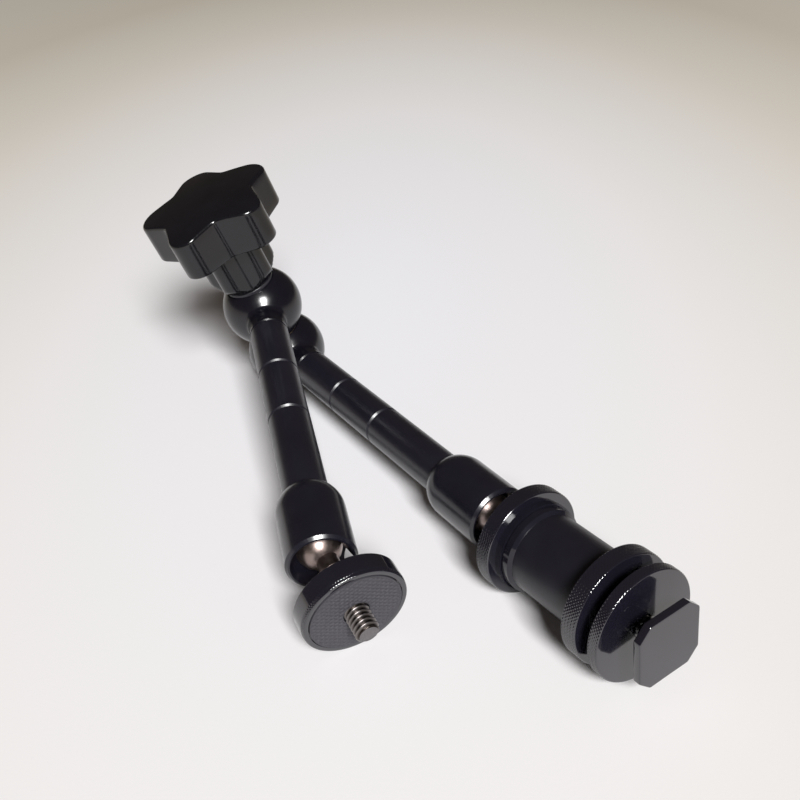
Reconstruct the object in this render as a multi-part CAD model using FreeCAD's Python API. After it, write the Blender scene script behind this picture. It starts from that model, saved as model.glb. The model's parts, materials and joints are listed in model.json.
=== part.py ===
import FreeCAD, Part
import math
import os

# An articulating friction arm for cameras. Two straight arms meet at an elbow of two cut balls, clamped by
# one star knob. Each arm ends in a socket that holds a ball stud. One stud carries a round camera platform
# with a 1/4 inch screw, the other an accessory-shoe foot on a short barrel with three thumb wheels.
#
# Millimetres and degrees. +Z is up and the arm lies on the plane z = 0, on the lower ball, the platform's
# rim and the lock wheel's rim. The shoe arm points to -Y. The origin is the bottom centre of the whole.

V = FreeCAD.Vector

# Pose at rest
arms_angle = 21.5
camera_stud_tilt = 14.5
camera_stud_azimuth = -126.5
shoe_stud_tilt = 1.9
shoe_stud_azimuth = -46.7
foot_turn = -16.1
knob_turn = -40.0

# Clearances
running_fit = 0.05
thread_fit = 0.02
face_gap = 0.02
loose_gap = 0.3

# Elbow
elbow_radius = 13.25
elbow_spacing = 20.35
elbow_cove = 2.2
elbow_bore = 5.5
elbow_floor = 6.4
upper_flat = 10.1
friction_washer_thickness = 0.5
friction_washer_outer = 8.3
friction_washer_inner = 6.4
clamp_bolt_radius = 3.0
clamp_bolt_seat = 11.4
clamp_bolt_reach = 14.0

# Wedge sleeve that spreads the push rods
wedge_neck = 4.0
wedge_slope = 0.3
wedge_lift = 2.5
pressure_washer_thickness = 1.2
pressure_washer_outer = 8.2

# Arms
tube_radius = 6.25
tube_start = 18.6
tube_chamfer = 0.45
groove_pitch = 22.8
groove_count = 2
groove_depth = 0.55
groove_half_width = 0.55
tenon_radius = 4.6
tenon_length = 7.0
rod_radius = 2.4

# Sockets and balls
ball_radius = 6.2
ball_distance = 115.0
tube_behind_ball = 10.0
socket_behind_ball = 18.0
socket_step = 0.5
socket_shoulder = 7.0
socket_wall = 3.05
socket_lip = 6.2
socket_mouth = 1.9
socket_rim_chamfer = 0.7
socket_rim_land = 0.5
slot_width = 7.0
slot_azimuth = -133.0
seat_thickness = 2.3
seat_rim = 3.2

# Ball studs, with a 1/4 inch camera thread
neck_radius = 2.9
neck_end = 10.6
screw_radius = 3.175
screw_tip = 29.7
screw_chamfer = 0.6
screw_clear = 0.2
engaged_radius = 2.76
shoe_stud_end = 33.0

# Camera platform
platform_radius = 13.8
platform_front = 22.7
platform_thickness = 6.0
platform_bevel = 0.6
platform_band = 1.5
pad_recess = 0.9
pad_thickness = 1.1
pad_gap = 0.25
pad_hole = 4.3
wheel_boss_start = 11.8
wheel_boss_small = 4.6
wheel_boss_large = 6.2

# Thumb wheels
lock_wheel_radius = 14.7
lock_wheel_front = 19.5
lock_wheel_thickness = 4.65
stem_wheel_radius = 15.1
stem_wheel_thickness = 4.75
clamp_wheel_thickness = 3.0
wheel_bevel = 0.7

# Barrel between the lock wheel and the stem wheel
barrel_radius = 10.75
barrel_length = 27.3
collar_radius = 12.2
collar_width = 1.9
collar_step = 0.45
collar_groove = 0.35
collar_groove_depth = 0.9
collar_chamfer = 0.8
barrel_end_chamfer = 0.4

# Shoe foot and its clamp
clamp_collar_radius = 8.6
clamp_collar_length = 3.8
clamp_collar_chamfer = 0.7
clamp_travel = 3.9
clamp_rest_gap = 0.12
foot_side = 18.6
foot_thickness = 2.0
foot_clip = 3.3
foot_neck_radius = 5.2
foot_neck_height = 1.7
stem_start = 36.0

# Star knob
lobe_count = 5
star_radius = 22.2
star_hollow = 5.0
star_tip_round = 5.2
star_bottom = 29.6
star_top = 42.4
star_crown = 2.2
star_edge_round = 1.3
hub_radius = 12.1
hub_hollow = 2.6
hub_tip_round = 3.6
hub_small = 8.3
hub_taper = 4.4
insert_radius = 5.6
insert_length = 13.0
knob_bore_spare = 1.0


# Profiles and frames


def turned(start, *steps):
    """A solid turned about Z. Points are (z, r); a pair of points is an arc through the first to the second."""
    edges = []
    here = V(start[1], 0, start[0])
    for step in steps + (start,):
        if isinstance(step[0], tuple):
            through, end = [V(r, 0, z) for z, r in step]
            edges.append(Part.Arc(here, through, end).toShape())
        else:
            end = V(step[1], 0, step[0])
            edges.append(Part.LineSegment(here, end).toShape())
        here = end
    face = Part.Face(Part.Wire(edges))
    return face.revolve(V(0, 0, 0), V(0, 0, 1), 360)


def rod_along_x(radius, low, high):
    """A cylinder about X between two places on it."""
    return Part.makeCylinder(radius, high - low, V(low, 0, 0), V(1, 0, 0))


def frame(origin, z_axis, x_hint):
    """A placement at origin, with its Z along z_axis and its X as near to x_hint as it can be."""
    z = V(z_axis).normalize()
    x = (x_hint - z * x_hint.dot(z)).normalize()
    y = z.cross(x)
    columns = FreeCAD.Matrix(
        x.x, y.x, z.x, origin.x, x.y, y.y, z.y, origin.y, x.z, y.z, z.z, origin.z, 0, 0, 0, 1
    )
    return FreeCAD.Placement(columns)


def turned_about(axis, angle):
    """A placement that turns about an axis through the origin."""
    return FreeCAD.Placement(V(0, 0, 0), FreeCAD.Rotation(axis, angle))


def on_sphere(radius, across):
    """Height on a sphere at a distance across from its axis."""
    return math.sqrt(radius**2 - across**2)


def star_wire(tip, depth, tip_round, height):
    """A closed outline of round lobes and round hollows of one depth that meet in tangent arcs."""
    valley = tip - depth
    lobe_centre = tip - tip_round
    half = math.pi / lobe_count
    shared = 2 * lobe_centre * math.cos(half)
    gained = valley**2 + lobe_centre**2 - shared * valley - tip_round**2
    hollow = gained / (2 * tip_round + shared - 2 * valley)
    hollow_centre = valley + hollow
    edges = []
    meets = []
    for lobe in range(lobe_count):
        middle = 2 * half * lobe
        at = V(lobe_centre * math.cos(middle), lobe_centre * math.sin(middle), height)
        for side in (-1, 1):
            away = middle + side * half
            other = V(hollow_centre * math.cos(away), hollow_centre * math.sin(away), height)
            meets.append(at + (other - at).normalize() * tip_round)
        top = V(tip * math.cos(middle), tip * math.sin(middle), height)
        edges.append(Part.Arc(meets[-2], top, meets[-1]).toShape())
    for lobe in range(lobe_count):
        away = 2 * half * lobe + half
        low = V(valley * math.cos(away), valley * math.sin(away), height)
        follows = meets[(2 * lobe + 2) % len(meets)]
        edges.insert(2 * lobe + 1, Part.Arc(meets[2 * lobe + 1], low, follows).toShape())
    return Part.Wire(edges)


# Elbow, built in an arm's frame: Z along the arm, X along the clamp axis


def cheek_blank():
    """Ball, cove, neck and tenon in one turned piece, with the push rod's bore."""
    reach = elbow_radius + elbow_cove
    across = tube_radius + elbow_cove
    cove = on_sphere(reach, across)
    share = elbow_radius / reach
    ball_end = (cove * share, across * share)
    lean = math.atan2(across, cove) / 2 + math.pi / 4
    cove_low = (cove - elbow_cove * math.cos(lean), across - elbow_cove * math.sin(lean))
    side = math.atan2(ball_end[1], ball_end[0]) / 2 + math.pi / 2
    ball_mid = (elbow_radius * math.cos(side), elbow_radius * math.sin(side))
    neck = tube_start - face_gap
    tenon = tube_start + tenon_length
    blank = turned(
        (-elbow_radius, 0),
        (ball_mid, ball_end),
        (cove_low, (cove, tube_radius)),
        (neck - tube_chamfer, tube_radius),
        (neck, tube_radius - tube_chamfer),
        (neck, tenon_radius),
        (tenon, tenon_radius),
        (tenon, 0),
    )
    bore = Part.makeCylinder(rod_radius + running_fit, tenon + 1)
    return blank.cut(bore)


def seam_height():
    """Height of each cheek's seam face from its ball's centre."""
    return (elbow_spacing - friction_washer_thickness) / 2 - face_gap


def shoe_arm_cheek():
    outside = 2 * elbow_radius
    above = Part.makeBox(outside, outside, outside, V(seam_height(), -elbow_radius, -elbow_radius))
    bore = rod_along_x(elbow_bore, -elbow_floor, outside)
    bolt_hole = rod_along_x(clamp_bolt_radius + thread_fit, -clamp_bolt_seat, 0)
    return cheek_blank().cut(above).cut(bore).cut(bolt_hole)


def camera_arm_cheek():
    outside = 2 * elbow_radius
    below = Part.makeBox(
        outside, outside, outside, V(-seam_height() - outside, -elbow_radius, -elbow_radius)
    )
    above = Part.makeBox(outside, outside, outside, V(upper_flat, -elbow_radius, -elbow_radius))
    bore = rod_along_x(elbow_bore, -outside, outside)
    return cheek_blank().cut(below).cut(above).cut(bore)


# Elbow pieces turned about the clamp axis: Z along it, 0 at the lower ball's centre


def friction_washer():
    low = seam_height() + face_gap
    high = low + friction_washer_thickness
    return turned(
        (low, friction_washer_inner),
        (low, friction_washer_outer),
        (high, friction_washer_outer),
        (high, friction_washer_inner),
    )


def washer_seat():
    """Height of the pressure washer's under side."""
    return elbow_spacing + upper_flat + running_fit


def knob_seat():
    """Height of the knob's under side."""
    return washer_seat() + pressure_washer_thickness + face_gap


def clamp_bolt():
    low = -clamp_bolt_seat + face_gap
    high = knob_seat() + clamp_bolt_reach
    end = screw_chamfer
    return turned(
        (low, 0),
        (low, clamp_bolt_radius - end),
        (low + end, clamp_bolt_radius),
        (high - end, clamp_bolt_radius),
        (high, clamp_bolt_radius - end),
        (high, 0),
    )


def cone_below():
    """How far each cone starts below its push rod's axis, to stay under the rod over the whole lift."""
    return wedge_lift + running_fit


def wedge_sleeve():
    """A sleeve with one cone for each push rod, wide end up, so that pressing it down spreads the rods."""
    inner = clamp_bolt_radius + running_fit
    outer = elbow_bore - running_fit
    cone = (outer - wedge_neck) / wedge_slope
    groove_below = rod_radius + wedge_lift + loose_gap
    lower_cone = -cone_below()
    upper_cone = elbow_spacing - cone_below()
    upper_groove = elbow_spacing - groove_below
    return turned(
        (-groove_below, inner),
        (-groove_below, wedge_neck),
        (lower_cone, wedge_neck),
        (lower_cone + cone, outer),
        (upper_groove, outer),
        (upper_groove, wedge_neck),
        (upper_cone, wedge_neck),
        (upper_cone + cone, outer),
        (washer_seat(), outer),
        (washer_seat(), inner),
    )


def pressure_washer():
    low = washer_seat()
    high = low + pressure_washer_thickness
    inner = clamp_bolt_radius + running_fit
    edge = pressure_washer_thickness / 4
    return turned(
        (low, inner),
        (low, pressure_washer_outer),
        (high - edge, pressure_washer_outer),
        (high, pressure_washer_outer - edge),
        (high, inner),
    )


def knob_insert():
    low = knob_seat()
    high = low + insert_length
    inner = clamp_bolt_radius + thread_fit
    return turned((low, inner), (low, insert_radius), (high, insert_radius), (high, inner))


def star_knob():
    """A lobed hub and a five-lobed star with a crowned top, bored from below for the insert and the bolt."""
    low = knob_seat()
    star_low = elbow_spacing + star_bottom
    star_high = elbow_spacing + star_top
    edge = star_edge_round
    crown = turned(
        (star_low, 0),
        (star_low, star_radius + 1),
        (star_high, star_radius + 1),
        (star_high, star_radius),
        ((star_high + star_crown * 0.75, star_radius / 2), (star_high + star_crown, 0)),
    )
    rise = star_crown + 1
    star = Part.Face(star_wire(star_radius, star_hollow, star_tip_round, star_low))
    star = star.extrude(V(0, 0, star_high - star_low + rise)).common(crown)
    top_edges = [e for e in star.Edges if e.BoundBox.ZMin > star_high - edge / 2]
    star = star.makeFillet(edge, top_edges)
    low_edges = [e for e in star.Edges if e.BoundBox.ZMax < star_low + edge / 2]
    star = star.makeFillet(edge / 2, low_edges)
    cone = turned(
        (low, 0),
        (low, hub_small),
        (low + hub_taper, hub_radius + loose_gap),
        (star_low + edge, hub_radius + loose_gap),
        (star_low + edge, 0),
    )
    hub = Part.Face(star_wire(hub_radius, hub_hollow, hub_tip_round, low))
    hub = hub.extrude(V(0, 0, star_low + edge - low)).common(cone)
    insert_bore = Part.makeCylinder(insert_radius + face_gap, insert_length + face_gap, V(0, 0, low))
    bolt_bore = Part.makeCylinder(
        clamp_bolt_radius + loose_gap, clamp_bolt_reach + knob_bore_spare, V(0, 0, low)
    )
    return star.fuse(hub).removeSplitter().cut(insert_bore).cut(bolt_bore)


# Arm pieces, in an arm's frame: Z along the arm, 0 at the elbow ball's centre


def tube_end():
    return ball_distance - tube_behind_ball


def arm_tube():
    """Round tube, with grooves at an even pitch, a counterbore for the cheek's tenon and a bore for the rod."""
    bore = rod_radius + running_fit
    counterbore = tenon_radius + thread_fit
    end = tube_end()
    steps = [
        (tube_start, tube_radius - tube_chamfer),
        (tube_start + tube_chamfer, tube_radius),
    ]
    for groove in range(1, groove_count + 1):
        middle = tube_start + groove * groove_pitch
        steps.append((middle - groove_half_width, tube_radius))
        steps.append((middle, tube_radius - groove_depth))
        steps.append((middle + groove_half_width, tube_radius))
    steps.append((end - tube_chamfer, tube_radius))
    steps.append((end, tube_radius - tube_chamfer))
    steps.append((end, bore))
    steps.append((tube_start + tenon_length + loose_gap, bore))
    steps.append((tube_start + tenon_length + loose_gap, counterbore))
    return turned((tube_start, counterbore), *steps)


def cavity_radius():
    return ball_radius + running_fit


def socket_radius():
    return cavity_radius() + socket_wall


def arm_socket():
    """A cup that screws on the tube, closes over the ball and has a slot on one side for the stud's neck."""
    bore = tube_radius + thread_fit
    cavity = cavity_radius()
    outer = socket_radius()
    back = ball_distance - socket_behind_ball
    inside = tube_end() + loose_gap
    rim = ball_distance + socket_lip
    mouth = ball_distance + socket_mouth
    half_lip = math.asin(socket_mouth / cavity) / 2
    shoulder_low = (back, tube_radius + socket_step)
    shoulder_high = (back + socket_shoulder, outer)
    rise = outer - shoulder_low[1]
    shoulder_mid = (back + socket_shoulder * 0.37, shoulder_low[1] + rise * 0.66)
    land = outer - socket_rim_chamfer - socket_rim_land
    cup = turned(
        (back, bore),
        shoulder_low,
        (shoulder_mid, shoulder_high),
        (rim - socket_rim_chamfer, outer),
        (rim, outer - socket_rim_chamfer),
        (rim, land),
        (mouth, on_sphere(cavity, socket_mouth)),
        (
            (ball_distance + cavity * math.sin(half_lip), cavity * math.cos(half_lip)),
            (ball_distance, cavity),
        ),
        (inside, cavity),
        (inside, bore),
    )
    slot_half = slot_width / 2
    slot = Part.makeBox(
        2 * outer, slot_width, 2 * socket_lip, V(0, -slot_half, ball_distance)
    ).fuse(Part.makeCylinder(slot_half, 2 * outer, V(0, 0, ball_distance), V(1, 0, 0)))
    slot.rotate(V(0, 0, 0), V(0, 0, 1), slot_azimuth)
    return cup.cut(slot)


def seat_back():
    """Distance of the ball seat's flat back from the elbow."""
    return ball_distance - ball_radius - seat_thickness


def ball_seat():
    """A short plug with a hollow that fits the ball, pushed by the rod."""
    hollow = ball_radius + face_gap
    outer = cavity_radius() - running_fit
    rim = ball_distance - seat_rim
    half = math.asin(on_sphere(hollow, seat_rim) / hollow) / 2
    return turned(
        (seat_back(), 0),
        (seat_back(), outer),
        (rim, outer),
        (rim, on_sphere(hollow, seat_rim)),
        (
            (ball_distance - hollow * math.cos(half), hollow * math.sin(half)),
            (ball_distance - hollow, 0),
        ),
    )


def push_rod():
    """A rod with a round nose on the wedge's cone and a flat end on the ball seat."""
    slant = math.hypot(1, wedge_slope)
    cone_here = wedge_neck + cone_below() * wedge_slope
    centre = cone_here + rod_radius * slant + face_gap
    nose = centre - rod_radius
    far = seat_back() - face_gap
    slim = rod_radius * math.sqrt(0.5)
    return turned(
        (nose, 0),
        ((centre - slim, slim), (centre, rod_radius)),
        (far - screw_chamfer, rod_radius),
        (far, rod_radius - screw_chamfer),
        (far, 0),
    )


# Pieces on a ball stud, in the stud's frame: Z along the stud, 0 at the ball's centre


def pad_face():
    """Distance of the pad's front face from the ball's centre."""
    return platform_front - pad_recess + pad_thickness


def ball_stud(start, end):
    """Ball, neck and thread in one piece. Up to start the thread runs in a nut and is drawn at its mean radius."""
    meet = on_sphere(ball_radius, neck_radius)
    half = math.asin(neck_radius / ball_radius) / 2 + math.pi / 2
    return turned(
        (-ball_radius, 0),
        (
            (ball_radius * math.cos(half), ball_radius * math.sin(half)),
            (meet, neck_radius),
        ),
        (neck_end, neck_radius),
        (neck_end, engaged_radius),
        (start, engaged_radius),
        (start, screw_radius),
        (end - screw_chamfer, screw_radius),
        (end, screw_radius - screw_chamfer),
        (end, 0),
    )


def camera_ball_stud():
    return ball_stud(pad_face() + screw_clear, screw_tip)


def shoe_ball_stud():
    return ball_stud(barrel_start(), shoe_stud_end)


def platform_wheel():
    """A round platform with a recess in front for its pad and a boss behind."""
    back = platform_front - platform_thickness
    bore = engaged_radius + thread_fit
    recess = platform_radius - platform_band
    return turned(
        (wheel_boss_start, bore),
        (wheel_boss_start, wheel_boss_small),
        (back, wheel_boss_large),
        (back, platform_radius - platform_bevel),
        (back + platform_bevel, platform_radius),
        (platform_front - platform_bevel, platform_radius),
        (platform_front, platform_radius - platform_bevel),
        (platform_front, recess),
        (platform_front - pad_recess, recess),
        (platform_front - pad_recess, bore),
    )


def platform_pad():
    low = platform_front - pad_recess
    high = pad_face()
    outer = platform_radius - platform_band - pad_gap
    edge = pad_thickness / 4
    return turned(
        (low, pad_hole),
        (low, outer),
        (high - edge, outer),
        (high, outer - edge),
        (high, pad_hole),
    )


def rimmed(low, high, radius, bore):
    """Profile points of a flat wheel with bevelled edges, from its bore round to its bore."""
    return [
        (low, bore),
        (low, radius - wheel_bevel),
        (low + wheel_bevel, radius),
        (high - wheel_bevel, radius),
        (high, radius - wheel_bevel),
        (high, bore),
    ]


def lock_wheel():
    """The thumb wheel behind the barrel, with the same boss as the platform."""
    bore = engaged_radius + thread_fit
    back = lock_wheel_front - lock_wheel_thickness
    rim = rimmed(back, lock_wheel_front, lock_wheel_radius, wheel_boss_large)
    return turned(
        (wheel_boss_start, bore), (wheel_boss_start, wheel_boss_small), *rim[:-1], (lock_wheel_front, bore)
    )


def barrel_start():
    return lock_wheel_front + face_gap


def barrel_end():
    return barrel_start() + barrel_length


def adapter_barrel():
    """A barrel threaded at both ends, with a stepped and grooved collar next to the lock wheel."""
    low = barrel_start()
    high = barrel_end()
    bore = screw_radius + thread_fit
    first = low + collar_width
    second = first + collar_groove
    third = second + collar_width
    small = collar_radius - collar_step
    return turned(
        (low, bore),
        (low, collar_radius),
        (first, collar_radius),
        (first, collar_radius - collar_groove_depth),
        (second, collar_radius - collar_groove_depth),
        (second, small),
        (third, small),
        (third + collar_chamfer, barrel_radius),
        (high - barrel_end_chamfer, barrel_radius),
        (high, barrel_radius - barrel_end_chamfer),
        (high, bore),
    )


def stem_wheel():
    low = barrel_end() + face_gap
    high = low + stem_wheel_thickness
    return turned(*rimmed(low, high, stem_wheel_radius, screw_radius + thread_fit))


def clamp_collar_start():
    return barrel_end() + face_gap + stem_wheel_thickness + clamp_rest_gap


def clamp_collar():
    """A spacer on the stem that travels with the clamp wheel."""
    low = clamp_collar_start()
    high = low + clamp_collar_length
    edge = clamp_collar_chamfer
    return turned(
        (low, screw_radius + thread_fit),
        (low, clamp_collar_radius - edge),
        (low + edge, clamp_collar_radius),
        (high - edge, clamp_collar_radius),
        (high, clamp_collar_radius - edge),
        (high, screw_radius + thread_fit),
    )


def clamp_wheel_front():
    return clamp_collar_start() + clamp_collar_length + face_gap + clamp_wheel_thickness


def clamp_wheel():
    high = clamp_wheel_front()
    low = high - clamp_wheel_thickness
    return turned(*rimmed(low, high, stem_wheel_radius, screw_radius + thread_fit))


def foot_back():
    """Distance of the shoe plate's inner face from the ball, with the clamp wheel's travel before its neck."""
    return clamp_wheel_front() + clamp_travel + running_fit + foot_neck_height


def shoe_foot():
    """A square plate with clipped corners on a round neck and a threaded stem."""
    back = foot_back()
    half = foot_side / 2
    flat = half - foot_clip
    corners = [(half, flat), (flat, half), (-flat, half), (-half, flat)]
    corners += [(-x, -y) for x, y in corners]
    points = [V(x, y, back) for x, y in corners]
    plate = Part.Face(Part.makePolygon(points + points[:1])).extrude(V(0, 0, foot_thickness))
    neck = back - foot_neck_height
    stem = turned(
        (stem_start, 0),
        (stem_start, screw_radius - screw_chamfer),
        (stem_start + screw_chamfer, screw_radius),
        (neck, screw_radius),
        (neck, foot_neck_radius),
        (back + foot_thickness / 2, foot_neck_radius),
        (back + foot_thickness / 2, 0),
    )
    return plate.fuse(stem).removeSplitter()


# Where everything stands, in the elbow's frame: Z along the clamp axis, X between the arms


def arm_frame(height, heading):
    """Frame of an arm that leaves the elbow at a height and a heading."""
    along = V(math.cos(math.radians(heading)), math.sin(math.radians(heading)), 0)
    return frame(V(0, 0, height), along, V(0, 0, 1))


def stud_frame(arm, tilt, azimuth, turn):
    """Frame of a stud that leans from its arm toward an azimuth, counted from the clamp axis."""
    toward = math.radians(azimuth)
    hinge = V(-math.sin(toward), math.cos(toward), 0)
    at_ball = FreeCAD.Placement(V(0, 0, ball_distance), FreeCAD.Rotation(hinge, tilt))
    return arm.multiply(at_ball).multiply(turned_about(V(0, 0, 1), turn))


shoe_arm = arm_frame(0, arms_angle / 2)
camera_arm = arm_frame(elbow_spacing, -arms_angle / 2)
clamp = FreeCAD.Placement()
knob = turned_about(V(0, 0, 1), knob_turn)
shoe_stud = stud_frame(shoe_arm, shoe_stud_tilt, shoe_stud_azimuth, foot_turn)
camera_stud = stud_frame(camera_arm, camera_stud_tilt, camera_stud_azimuth, 0)


def round_edge(stud, distance, radius):
    """Centre, axis and radius of a wheel's edge that may touch the ground."""
    centre = stud.multVec(V(0, 0, distance))
    return centre, stud.Rotation.multVec(V(0, 0, 1)), radius


def lowest(edges, up):
    """Height of the lowest point of some round edges, along a direction up."""
    heights = []
    for centre, axis, radius in edges:
        heights.append(centre.dot(up) - radius * math.sqrt(1 - axis.dot(up) ** 2))
    return min(heights)


def ground():
    """Direction up, for the plane that touches the lower ball, the platform and one thumb wheel."""
    wheel_back = lock_wheel_front - lock_wheel_thickness
    stem_low = barrel_end() + face_gap
    platform_back = platform_front - platform_thickness
    platform_edges = [
        round_edge(camera_stud, platform_back + platform_bevel, platform_radius),
        round_edge(camera_stud, platform_front - platform_bevel, platform_radius),
        round_edge(camera_stud, platform_front, platform_radius - platform_bevel),
    ]
    wheel_edges = [
        round_edge(shoe_stud, wheel_back, lock_wheel_radius - wheel_bevel),
        round_edge(shoe_stud, wheel_back + wheel_bevel, lock_wheel_radius),
        round_edge(shoe_stud, lock_wheel_front - wheel_bevel, lock_wheel_radius),
        round_edge(shoe_stud, stem_low + wheel_bevel, stem_wheel_radius),
        round_edge(shoe_stud, stem_low + stem_wheel_thickness - wheel_bevel, stem_wheel_radius),
        round_edge(shoe_stud, clamp_wheel_front() - wheel_bevel, stem_wheel_radius),
    ]

    def gaps(lean_x, lean_y):
        up = V(lean_x, lean_y, 1).normalize()
        return lowest(platform_edges, up) + elbow_radius, lowest(wheel_edges, up) + elbow_radius

    lean_x = 0.0
    lean_y = 0.3
    step = 1e-5
    for turn in range(30):
        a, b = gaps(lean_x, lean_y)
        ax, bx = gaps(lean_x + step, lean_y)
        ay, by = gaps(lean_x, lean_y + step)
        ax, bx, ay, by = (ax - a) / step, (bx - b) / step, (ay - a) / step, (by - b) / step
        size = ax * by - ay * bx
        lean_x -= (a * by - b * ay) / size
        lean_y -= (b * ax - a * bx) / size
    return V(lean_x, lean_y, 1).normalize()


pieces = {
    "shoe_arm_cheek": (shoe_arm_cheek, shoe_arm),
    "shoe_arm_tube": (arm_tube, shoe_arm),
    "shoe_arm_socket": (arm_socket, shoe_arm),
    "shoe_arm_rod": (push_rod, shoe_arm),
    "shoe_arm_seat": (ball_seat, shoe_arm),
    "camera_arm_cheek": (camera_arm_cheek, camera_arm),
    "camera_arm_tube": (arm_tube, camera_arm),
    "camera_arm_socket": (arm_socket, camera_arm),
    "camera_arm_rod": (push_rod, camera_arm),
    "camera_arm_seat": (ball_seat, camera_arm),
    "friction_washer": (friction_washer, clamp),
    "clamp_bolt": (clamp_bolt, clamp),
    "wedge_sleeve": (wedge_sleeve, clamp),
    "pressure_washer": (pressure_washer, clamp),
    "knob_insert": (knob_insert, clamp),
    "star_knob": (star_knob, knob),
    "shoe_ball_stud": (shoe_ball_stud, shoe_stud),
    "lock_wheel": (lock_wheel, shoe_stud),
    "adapter_barrel": (adapter_barrel, shoe_stud),
    "stem_wheel": (stem_wheel, shoe_stud),
    "clamp_collar": (clamp_collar, shoe_stud),
    "clamp_wheel": (clamp_wheel, shoe_stud),
    "shoe_foot": (shoe_foot, shoe_stud),
    "camera_ball_stud": (camera_ball_stud, camera_stud),
    "platform_wheel": (platform_wheel, camera_stud),
    "platform_pad": (platform_pad, camera_stud),
}

up = ground()
arm_heading = shoe_arm.Rotation.multVec(V(0, 0, 1))
leveled = frame(V(0, 0, 0), up, up.cross(arm_heading)).inverse()

shapes = {}
for name, (make, place) in pieces.items():
    shape = make().Solids[0]
    shape.Placement = leveled.multiply(place)
    shapes[name] = shape

box = Part.makeCompound(list(shapes.values())).optimalBoundingBox(False, False)
middle = V((box.XMin + box.XMax) / 2, (box.YMin + box.YMax) / 2, box.ZMin)
on_table = FreeCAD.Placement(-middle, FreeCAD.Rotation()).multiply(leveled)

os.makedirs("parts", exist_ok=True)
for name, shape in shapes.items():
    shape.Placement = on_table.multiply(pieces[name][1])
    shape.exportStep(f"parts/{name}.step")
    print(name, shape.ShapeType, len(shape.Solids), shape.isValid(), round(shape.Volume, 1))

print("size", round(box.XLength, 2), round(box.YLength, 2), round(box.ZLength, 2))
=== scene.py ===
# %% [markdown]
# # A friction arm on a pale table
# Two black anodised arms are joined by an elbow with a star knob. One arm ends in a round platform with a
# quarter-inch screw, the other in a shoe foot behind three thumb wheels.
#
# The solids come from the frame and stay where they are. This lesson gives them their finishes, and makes
# new meshes only where a plain solid leaves something out: screw threads, knurled rims, the ribbed pad, the
# sharp valleys of the knob and the softened edges of the foot.

# %% Load the solids
import json
import math

import bmesh
import bpy
import numpy as np
from mathutils import Matrix, Vector


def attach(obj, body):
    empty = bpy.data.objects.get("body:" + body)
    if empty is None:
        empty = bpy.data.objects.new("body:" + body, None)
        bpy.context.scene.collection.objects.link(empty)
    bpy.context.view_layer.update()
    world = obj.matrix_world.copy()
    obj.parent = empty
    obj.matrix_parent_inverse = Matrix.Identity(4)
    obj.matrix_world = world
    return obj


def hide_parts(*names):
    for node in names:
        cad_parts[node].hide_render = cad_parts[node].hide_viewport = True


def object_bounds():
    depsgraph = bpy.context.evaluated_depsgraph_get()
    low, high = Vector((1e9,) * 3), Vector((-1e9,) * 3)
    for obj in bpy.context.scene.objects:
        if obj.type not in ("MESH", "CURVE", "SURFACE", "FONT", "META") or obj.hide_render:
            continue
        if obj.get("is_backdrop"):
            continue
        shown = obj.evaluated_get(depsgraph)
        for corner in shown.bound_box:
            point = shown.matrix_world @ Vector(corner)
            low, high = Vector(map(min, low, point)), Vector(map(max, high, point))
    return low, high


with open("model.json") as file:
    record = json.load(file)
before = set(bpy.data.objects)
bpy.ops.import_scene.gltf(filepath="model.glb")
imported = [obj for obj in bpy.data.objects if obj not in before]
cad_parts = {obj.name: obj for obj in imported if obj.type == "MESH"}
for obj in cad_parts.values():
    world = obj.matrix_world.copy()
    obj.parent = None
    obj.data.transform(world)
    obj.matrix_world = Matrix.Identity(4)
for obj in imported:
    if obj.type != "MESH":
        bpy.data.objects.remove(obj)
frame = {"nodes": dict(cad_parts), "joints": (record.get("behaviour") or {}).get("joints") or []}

cad_box = [list(corner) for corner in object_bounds()]
nodes = frame["nodes"]
joints = {joint["name"]: joint for joint in frame["joints"]}
print("size in mm:", [round(1000 * (high - low), 1) for low, high in zip(*cad_box)])

# %% [markdown]
# ## Where the turned pieces stand
# Nearly every piece was made on a lathe, so it is round about one axis. Its place could be typed in as
# angles, but the joints already know these axes: each has a point and a direction. A placement with its Z
# along such an axis lets every profile be written as plain distances along it, the way a drawing gives them.

# %% Placements from the joints


def along(origin, axis, across=(0, 0, 1)):
    """A placement with its Z along an axis and its X as near to `across` as it can be."""
    z = Vector(axis).normalized()
    x = (Vector(across) - z * z.dot(Vector(across))).normalized()
    turn = Matrix((x, z.cross(x), z)).transposed().to_4x4()
    return Matrix.Translation(Vector(origin)) @ turn


def joint_place(name):
    return along(joints[name]["pos_m"], joints[name]["axis"])


camera_stud = joint_place("platform_turn")
shoe_stud = joint_place("lock_wheel_turn")
clamp_axis = joint_place("knob_turn")
elbow = joints["elbow_swing"]["pos_m"]
arm_axes = {arm: along(elbow, joints[f"{arm}_stud_round"]["axis"]) for arm in ("camera", "shoe")}
print("camera stud points to", [round(c, 3) for c in camera_stud.col[2][:3]])
print("shoe stud points to", [round(c, 3) for c in shoe_stud.col[2][:3]])

# %% [markdown]
# ## A lathe for meshes
# A turned piece could be made with a screw modifier, but then every row is the same all round. Here it is a
# grid: rows along its profile, columns round its axis. Keeping it as arrays of radius and height means that
# a thread or a knurl is only a small change to the radius before the mesh is made.

# %% One mesh from two grids


def full_turn(around):
    return np.linspace(0, 2 * np.pi, around, endpoint=False)[None]


def grid_faces(rows, around, ring):
    """Faces between neighbouring rows. A ring joins its last row to its first, other grids get two caps."""
    faces = []
    for row in range(rows if ring else rows - 1):
        a, b = row * around, (row + 1) % rows * around
        for step in range(around):
            after = (step + 1) % around
            faces.append((a + step, a + after, b + after, b + step))
    if not ring:
        faces.append(tuple(range(around))[::-1])
        faces.append(tuple(range((rows - 1) * around, rows * around)))
    return faces


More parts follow.
